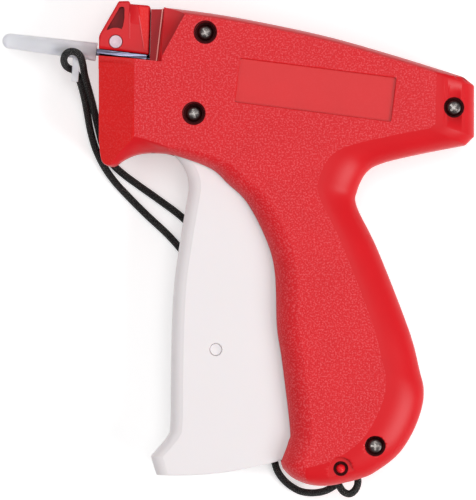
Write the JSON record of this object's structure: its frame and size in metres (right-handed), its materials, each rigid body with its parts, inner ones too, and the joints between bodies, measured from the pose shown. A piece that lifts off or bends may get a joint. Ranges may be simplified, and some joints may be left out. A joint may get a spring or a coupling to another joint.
{
  "type": "garment tag attacher",
  "caption": "Hand-held garment tag attacher lying on its side: pistol-shaped two-shell housing, squeeze trigger, needle under a cap, lever drive and wrist strap.",
  "frame": {"origin": "centre of the footprint of the tool lying on its right side, on the surface it lies on, measured without the strap", "axes": "+X runs from the needle back to the tail, +Y runs up from the handle to the head as the tool is held, +Z is up, out of the tool's left side"},
  "size_m": [0.142, 0.1493, 0.028],
  "materials": {
    "red_shell": "red ABS, spark-textured faces and polished rounds",
    "white_trigger": "warm white ABS, fine satin grain",
    "inner_plastic": "natural white acetal",
    "pale_plastic": "pale translucent pinkish white plastic",
    "clear_cap": "translucent bluish polyethylene",
    "screw_steel": "zinc plated steel",
    "steel_wire": "bright drawn steel",
    "blade_steel": "ground spring steel",
    "needle_steel": "polished stainless steel",
    "black_cord": "black braided polyester cord"
  },
  "bodies": {
    "housing": {"right_shell": "red_shell", "left_shell": "red_shell", "housing_screws": "screw_steel", "trigger_spring": "steel_wire", "lever_pivot_pin": "steel_wire", "rod_guide": "inner_plastic", "cutter_blade": "blade_steel", "feed_wheel_axle": "steel_wire", "feed_pawl": "blade_steel", "needle_block": "red_shell", "needle": "needle_steel", "needle_cap": "clear_cap", "strap_pin": "red_shell", "strap_cord": "black_cord", "strap_bight": "black_cord", "strap_knot": "black_cord"},
    "trigger_group": {"trigger": "white_trigger", "trigger_tie_pin": "white_trigger"},
    "lever_group": {"drive_lever": "inner_plastic", "lower_drive_pin": "steel_wire", "upper_drive_pin": "steel_wire"},
    "slide_group": {"slide": "inner_plastic", "ejector_rod": "steel_wire"},
    "lock_group": {"needle_lock": "pale_plastic"},
    "wheel_group": {"feed_wheel": "inner_plastic"}
  },
  "joints": [
    {"name": "trigger_squeeze", "type": "hinge", "parent": "housing", "child": "trigger_group", "pos_m": [-0.0132, 0.0389, 0.014], "axis": [0, 0, 1], "range_deg": [0, 16.5], "stiffness_Nm_per_rad": 0.35, "springref_deg": -8.59, "deforming": ["trigger_spring"]},
    {"name": "lever_swing", "type": "hinge", "parent": "housing", "child": "lever_group", "pos_m": [0.024, 0.014, 0.014], "axis": [0, 0, 1], "range_deg": [0, 37.01]},
    {"name": "slide_stroke", "type": "slide", "parent": "housing", "child": "slide_group", "axis": [-0.9921, 0.1253, 0], "range_m": [0, 0.0229]},
    {"name": "needle_lock_turn", "type": "hinge", "parent": "housing", "child": "lock_group", "pos_m": [-0.03666, 0.0605, 0.014], "axis": [0, 0, 1], "range_deg": [0, 90]},
    {"name": "feed_wheel_turn", "type": "hinge", "parent": "housing", "child": "wheel_group", "pos_m": [-0.0198, 0.0478, 0.0071], "axis": [0, 0, 1], "continuous": true}
  ],
  "couplings": [
    {"joint": "lever_swing", "follows": "trigger_squeeze", "ratio": 2.2424},
    {"joint": "slide_stroke", "follows": "trigger_squeeze", "m_per_rad": 0.079178}
  ]
}
